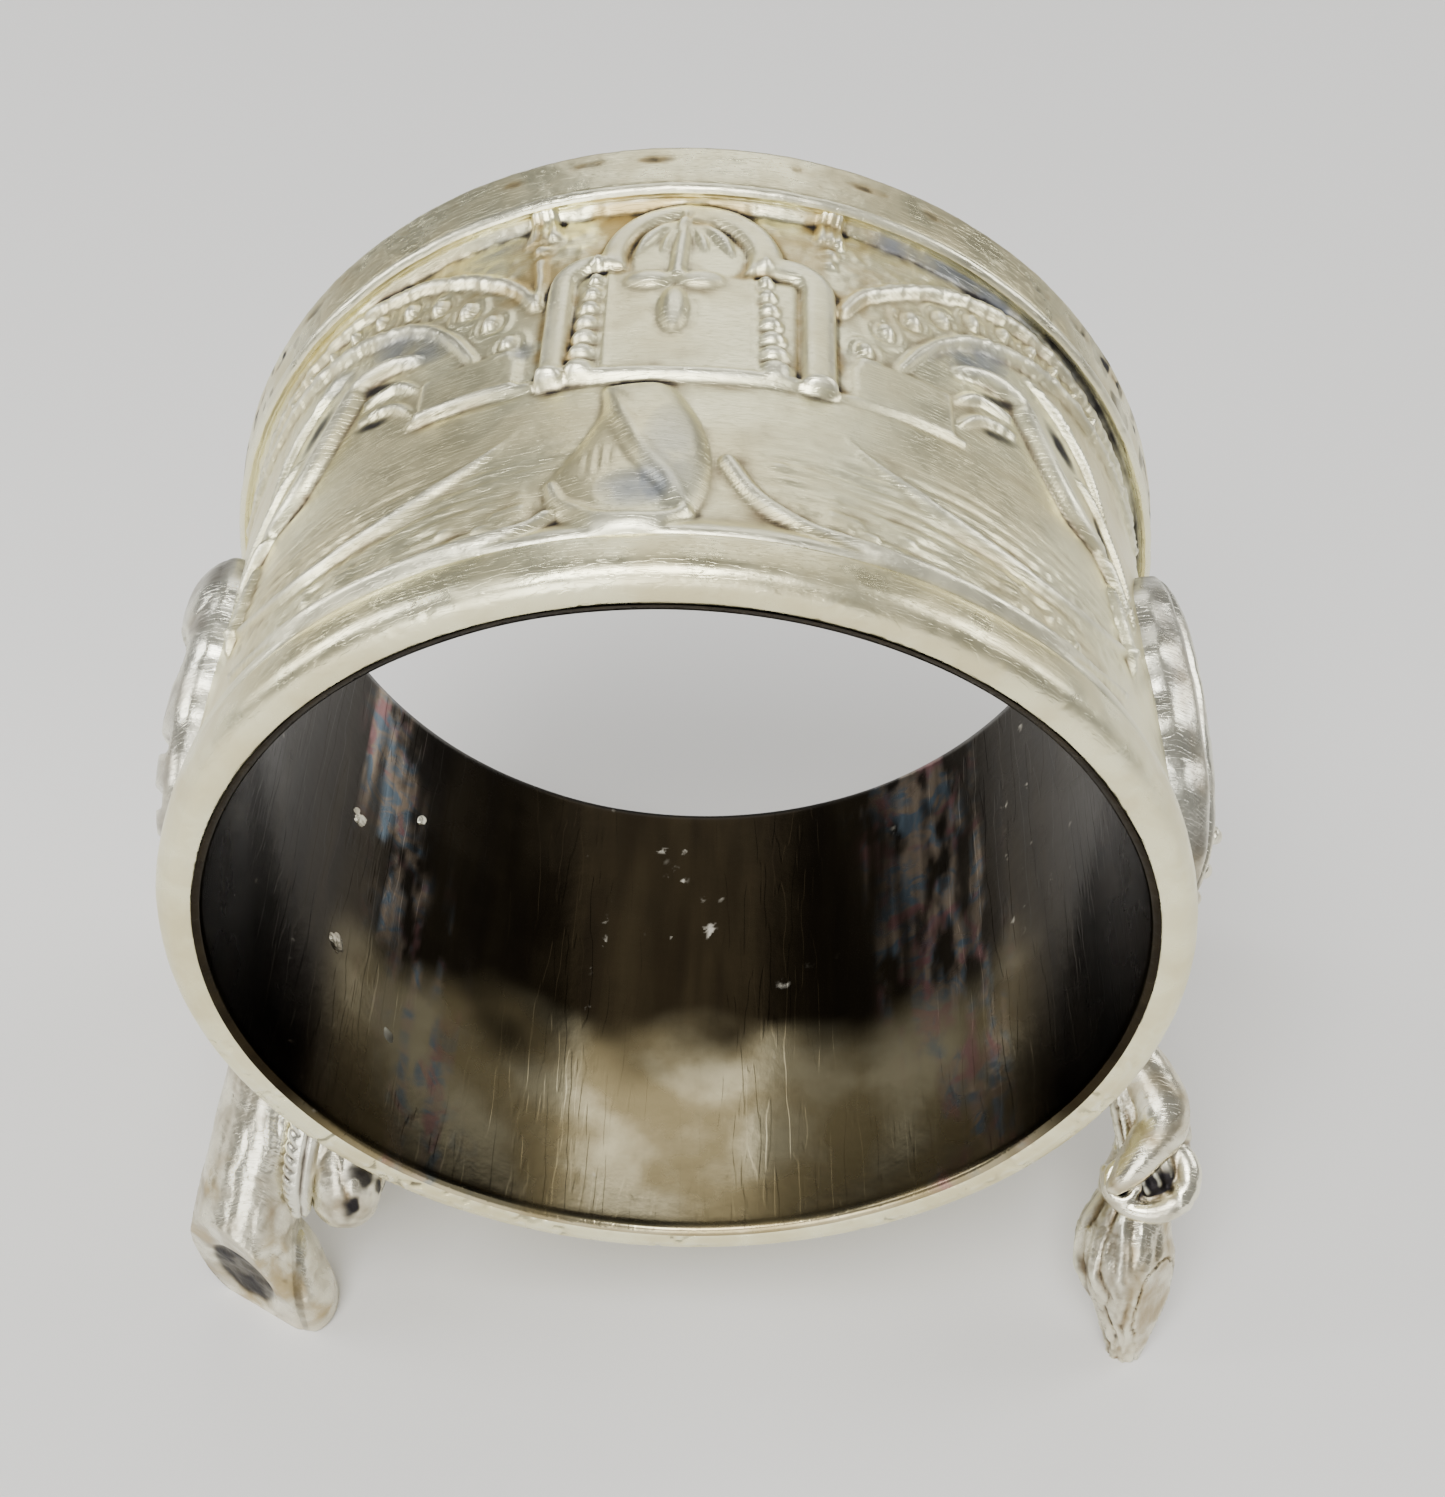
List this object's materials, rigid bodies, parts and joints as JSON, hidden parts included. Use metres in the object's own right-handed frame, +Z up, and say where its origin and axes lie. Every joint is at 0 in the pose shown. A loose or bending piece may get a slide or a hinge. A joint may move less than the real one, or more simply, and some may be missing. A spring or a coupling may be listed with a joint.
{
  "type": "napkin ring",
  "caption": "Antique silver-plated napkin ring: smooth liner, jacket stamped with an arched doorway and wings, rolled rims, carried on cast branch feet.",
  "frame": {"origin": "on the table under the middle of the ring, halfway between the two rims", "axes": "+Z up, +Y along the bore from the plain rolled rim to the bordered rim, +X to the right seen from the rolled rim"},
  "size_m": [0.0504, 0.0304, 0.0525],
  "materials": {
    "silver_jacket": "satin aged silver plate, yellow-brown and blue-grey tarnish in the recesses",
    "silver_rim": "worn bright silver plate",
    "tarnished_liner": "smooth silver plate under dark brown tarnish",
    "cast_silver": "bright cast silver plate, black in the grooves"
  },
  "bodies": {
    "root": {"liner_sleeve": "tarnished_liner", "embossed_jacket": "silver_jacket", "front_rim_roll": "silver_rim", "rear_border_band": "silver_rim", "rear_edge_wire": "silver_rim", "left_front_log_foot": "cast_silver", "left_front_twig": "cast_silver", "left_front_bud": "cast_silver", "left_rear_log_foot": "cast_silver", "left_rear_twig": "cast_silver", "left_rear_bud": "cast_silver", "right_front_root_foot": "cast_silver", "right_front_burl": "cast_silver", "right_front_vine": "cast_silver", "right_rear_root_foot": "cast_silver", "right_rear_burl": "cast_silver", "right_rear_vine": "cast_silver", "left_flank_branch": "cast_silver", "left_flank_leaf": "cast_silver", "right_flank_branch": "cast_silver", "right_flank_leaf": "cast_silver", "right_leaf_berries": "cast_silver"}
  },
  "joints": []
}
